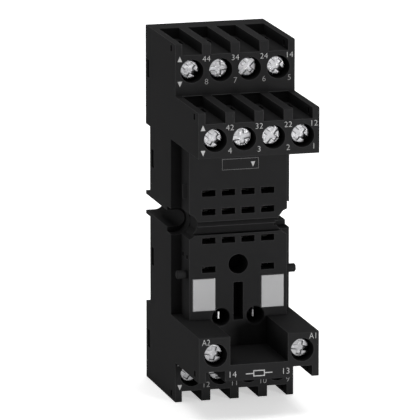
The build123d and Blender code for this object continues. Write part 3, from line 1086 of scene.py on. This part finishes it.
@dataclass(frozen=True)
class TowerFrame:
    """The small outlined field at the top of the relay face, with a triangle in it."""

    width: float = 8.25 * MILLIMETRE
    height: float = 2.4 * MILLIMETRE
    line: float = 0.05 * MILLIMETRE
    centre_x: float = 0.48 * MILLIMETRE
    centre_z: float = 13.45 * MILLIMETRE
    face_y: float = -27.5 * MILLIMETRE
    triangle_step: float = 2.85 * MILLIMETRE
    triangle_height: float = 1.15 * MILLIMETRE

    def build(self, printer: InkPrinter) -> bpy.types.Object:
        """Print the outlined field.

        Args:
            printer: What prints it.

        Returns:
            The printed field.
        """
        centre = (self.centre_x, self.face_y, self.centre_z)
        border = printer.faded().rectangle(self.width, self.height, centre, self.line)
        beside = (self.centre_x + self.triangle_step, self.face_y, self.centre_z)
        triangle = printer.triangle(self.triangle_height, False, beside)
        return join([border, triangle], "marks_relay_face")


@dataclass(frozen=True)
class SocketMarks:
    """All the marks printed on the socket."""

    ink: PadInk = PadInk("pad_ink_pale_grey", (0.43, 0.43, 0.43), (0.33, 0.33, 0.33))
    faded_ink: PadInk = PadInk("pad_ink_faded", (0.27, 0.27, 0.27), (0.2, 0.2, 0.2))
    groups: tuple[RowMarks | CoilMarks | TowerFrame, ...] = (
        RowMarks(
            "upper_row",
            {8: "44", 7: "34", 6: "24", 5: "14"},
            {8: "8", 7: "7", 6: "6", 5: "5"},
            lower_faded=True,
        ),
        RowMarks(
            "second_row",
            {4: "42", 3: "32", 2: "22", 1: "12"},
            {4: "4", 3: "3", 2: "2", 1: "1"},
        ),
        RowMarks(
            "lower_row",
            {12: "41", 11: "31", 10: "21", 9: "11"},
            {12: "12", 11: "11", 10: "10", 9: "9"},
            lower_faded=True,
        ),
        CoilMarks(),
        TowerFrame(),
    )

    def build(self) -> list[bpy.types.Object]:
        """Print each group of marks as one piece.

        Returns:
            The printed groups.
        """
        printer = InkPrinter(self.ink.material(), self.faded_ink.material())
        printed = []
        for group in self.groups:
            marks = group.build(printer)
            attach(marks, SOCKET_BODY)
            log.info("printed %s", marks.name)
            printed.append(marks)
        return printed


def hang(
    thing: bpy.types.Object, target: Vector, azimuth: float, elevation: float, distance: float
) -> None:
    """Place a lamp or the camera in the scene, turned to a point.

    Args:
        thing: The lamp or the camera.
        target: The point that it looks at.
        azimuth: The side from which it looks, in degrees, 0 in front and 90 at the right.
        elevation: The height from which it looks, in degrees above the target's level.
        distance: How far from the target it is.
    """
    turn, tilt = radians(azimuth), radians(elevation)
    away = Vector((sin(turn) * cos(tilt), -cos(turn) * cos(tilt), sin(tilt)))
    thing.location = target + away * distance
    thing.rotation_euler = (-away).to_track_quat("-Z", "Y").to_euler()
    bpy.context.scene.collection.objects.link(thing)


@dataclass(frozen=True)
class Softbox:
    """A square lamp that looks at the part."""

    name: str
    azimuth: float
    elevation: float
    distance: float
    size: float
    strength: float
    in_reflections: bool = True

    def build(self, target: Vector) -> bpy.types.Object:
        """Hang the lamp.

        Args:
            target: The point that the lamp looks at.

        Returns:
            The lamp.
        """
        data = bpy.data.lights.new(self.name, "AREA")
        data.size = self.size
        data.energy = self.strength
        lamp = bpy.data.objects.new(self.name, data)
        lamp.visible_glossy = self.in_reflections
        hang(lamp, target, self.azimuth, self.elevation, self.distance)
        return lamp


@dataclass(frozen=True)
class Studio:
    """The pale floor, the white surroundings, the soft lamps and the camera."""

    floor_size: float = 6.0
    floor_colour: Colour = (0.8, 0.8, 0.8)
    floor_lift: float = 0.52
    surround_light: float = 0.19
    seen_light: float = 1.0
    camera_azimuth: float = -15.608
    camera_elevation: float = 12.543
    camera_distance: float = 1184.61 * MILLIMETRE
    camera_target: Place = (-4.31 * MILLIMETRE, -20.0 * MILLIMETRE, 1.81 * MILLIMETRE)
    camera_lens: float = 462.8
    softboxes: tuple[Softbox, ...] = (
        Softbox(
            "key_softbox",
            azimuth=28.0,
            elevation=0.0,
            distance=0.5,
            size=0.12,
            strength=2.3,
            in_reflections=False,
        ),
        Softbox(
            "side_softbox", azimuth=-103.0, elevation=3.0, distance=1.2, size=0.5, strength=4.2
        ),
        Softbox("top_softbox", azimuth=-10.0, elevation=82.0, distance=1.0, size=0.8, strength=5.4),
        Softbox(
            "back_softbox",
            azimuth=158.0,
            elevation=6.0,
            distance=1.2,
            size=0.6,
            strength=9.0,
            in_reflections=False,
        ),
    )

    def build(self) -> None:
        """Build the floor, the surroundings, the lamps and the camera."""
        self._floor()
        self._surroundings()
        self._camera()
        target = Vector(self.camera_target)
        for softbox in self.softboxes:
            softbox.build(target)
        log.info("studio with %d softboxes", len(self.softboxes))

    def _floor(self) -> None:
        """Lay the floor under the part's feet."""
        floor = start_piece(
            bpy.ops.mesh.primitive_plane_add,
            size=self.floor_size,
            location=(0, 0, cad_bounds[0].z),
        )
        floor.name = "studio_floor"
        shading = Shading("studio_floor_white")
        seen = seen_directly(shading.tree)
        floor.data.materials.append(
            shading.finish(
                Base_Color=shading.tint(seen, self.floor_colour, WHITE),
                Roughness=1.0,
                Specular_IOR_Level=0.0,
                Emission_Color=WHITE,
                Emission_Strength=shading.between(seen, 0.0, self.floor_lift),
            )
        )

    def _surroundings(self) -> None:
        """Make the surroundings white where they are seen, and softly lit otherwise."""
        world = bpy.data.worlds.new("studio_surroundings")
        bpy.context.scene.world = world
        world.use_nodes = True
        nodes, links = world.node_tree.nodes, world.node_tree.links
        background = nodes["Background"]
        background.inputs["Color"].default_value = (*WHITE, 1.0)
        seen = seen_directly(world.node_tree)
        strength = nodes.new("ShaderNodeMapRange")
        strength.inputs["To Min"].default_value = self.surround_light
        strength.inputs["To Max"].default_value = self.seen_light
        links.new(seen, strength.inputs["Value"])
        links.new(strength.outputs["Result"], background.inputs["Strength"])

    def _camera(self) -> None:
        """Set up the camera and the view."""
        data = bpy.data.cameras.new("studio_camera")
        data.lens = self.camera_lens
        camera = bpy.data.objects.new("studio_camera", data)
        target = Vector(self.camera_target)
        hang(camera, target, self.camera_azimuth, self.camera_elevation, self.camera_distance)
        bpy.context.scene.camera = camera
        bpy.context.scene.view_settings.view_transform = "Standard"


def main() -> None:
    """Build the studio, dress the part, model its fine pieces and print its marks."""
    logging.basicConfig(level=logging.INFO)
    Studio().build()
    finishes = PartDressing().dress()
    ScrewSet().build(finishes["screw_steel"])
    LatchSpring().build(finishes["spring_steel"])
    SocketMarks().build()


if __name__ == "__main__":
    main()
